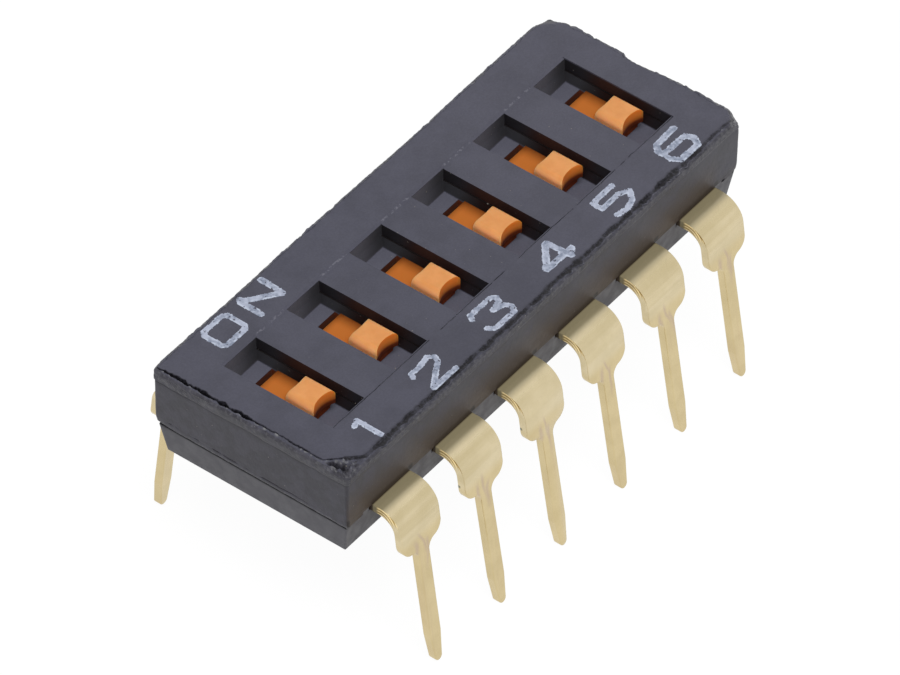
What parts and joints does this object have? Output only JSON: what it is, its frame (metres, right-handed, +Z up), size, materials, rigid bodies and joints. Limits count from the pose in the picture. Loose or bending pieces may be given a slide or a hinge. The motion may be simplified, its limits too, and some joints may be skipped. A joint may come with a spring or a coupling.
{
  "type": "dip switch",
  "caption": "Slide DIP switch in a dark grey case with recessed orange actuators, a row of numerals, the word ON, and bent through-hole terminals on both long sides.",
  "frame": {"origin": "centre of the underside of the case", "axes": "+Z up out of the top face, +X along the row of switches in the order of their numerals, +Y towards the ON side, -Y the numbered side"},
  "size_m": [0.0164, 0.0092, 0.0073],
  "materials": {
    "cover_plastic": "dark grey moulded thermoplastic with a fine grain",
    "base_plastic": "dark grey moulded thermoplastic",
    "actuator_plastic": "orange moulded plastic",
    "terminal_metal": "pale gold plating, semi-bright",
    "spring_alloy": "gold-plated spring strip"
  },
  "bodies": {
    "housing": {"cover": "cover_plastic", "base": "base_plastic", "number_terminal_1": "terminal_metal", "number_terminal_2": "terminal_metal", "number_terminal_3": "terminal_metal", "number_terminal_4": "terminal_metal", "number_terminal_5": "terminal_metal", "number_terminal_6": "terminal_metal", "on_terminal_1": "terminal_metal", "on_terminal_2": "terminal_metal", "on_terminal_3": "terminal_metal", "on_terminal_4": "terminal_metal", "on_terminal_5": "terminal_metal", "on_terminal_6": "terminal_metal"},
    "actuator_1": {"slider_1": "actuator_plastic", "contact_1": "spring_alloy"},
    "actuator_2": {"slider_2": "actuator_plastic", "contact_2": "spring_alloy"},
    "actuator_3": {"slider_3": "actuator_plastic", "contact_3": "spring_alloy"},
    "actuator_4": {"slider_4": "actuator_plastic", "contact_4": "spring_alloy"},
    "actuator_5": {"slider_5": "actuator_plastic", "contact_5": "spring_alloy"},
    "actuator_6": {"slider_6": "actuator_plastic", "contact_6": "spring_alloy"}
  },
  "joints": [
    {"name": "slide_1", "type": "slide", "parent": "housing", "child": "actuator_1", "axis": [0, 1, 0], "range_m": [0, 0.00078]},
    {"name": "slide_2", "type": "slide", "parent": "housing", "child": "actuator_2", "axis": [0, 1, 0], "range_m": [0, 0.00078]},
    {"name": "slide_3", "type": "slide", "parent": "housing", "child": "actuator_3", "axis": [0, 1, 0], "range_m": [0, 0.00078]},
    {"name": "slide_4", "type": "slide", "parent": "housing", "child": "actuator_4", "axis": [0, 1, 0], "range_m": [0, 0.00078]},
    {"name": "slide_5", "type": "slide", "parent": "housing", "child": "actuator_5", "axis": [0, 1, 0], "range_m": [0, 0.00078]},
    {"name": "slide_6", "type": "slide", "parent": "housing", "child": "actuator_6", "axis": [0, 1, 0], "range_m": [0, 0.00078]}
  ]
}
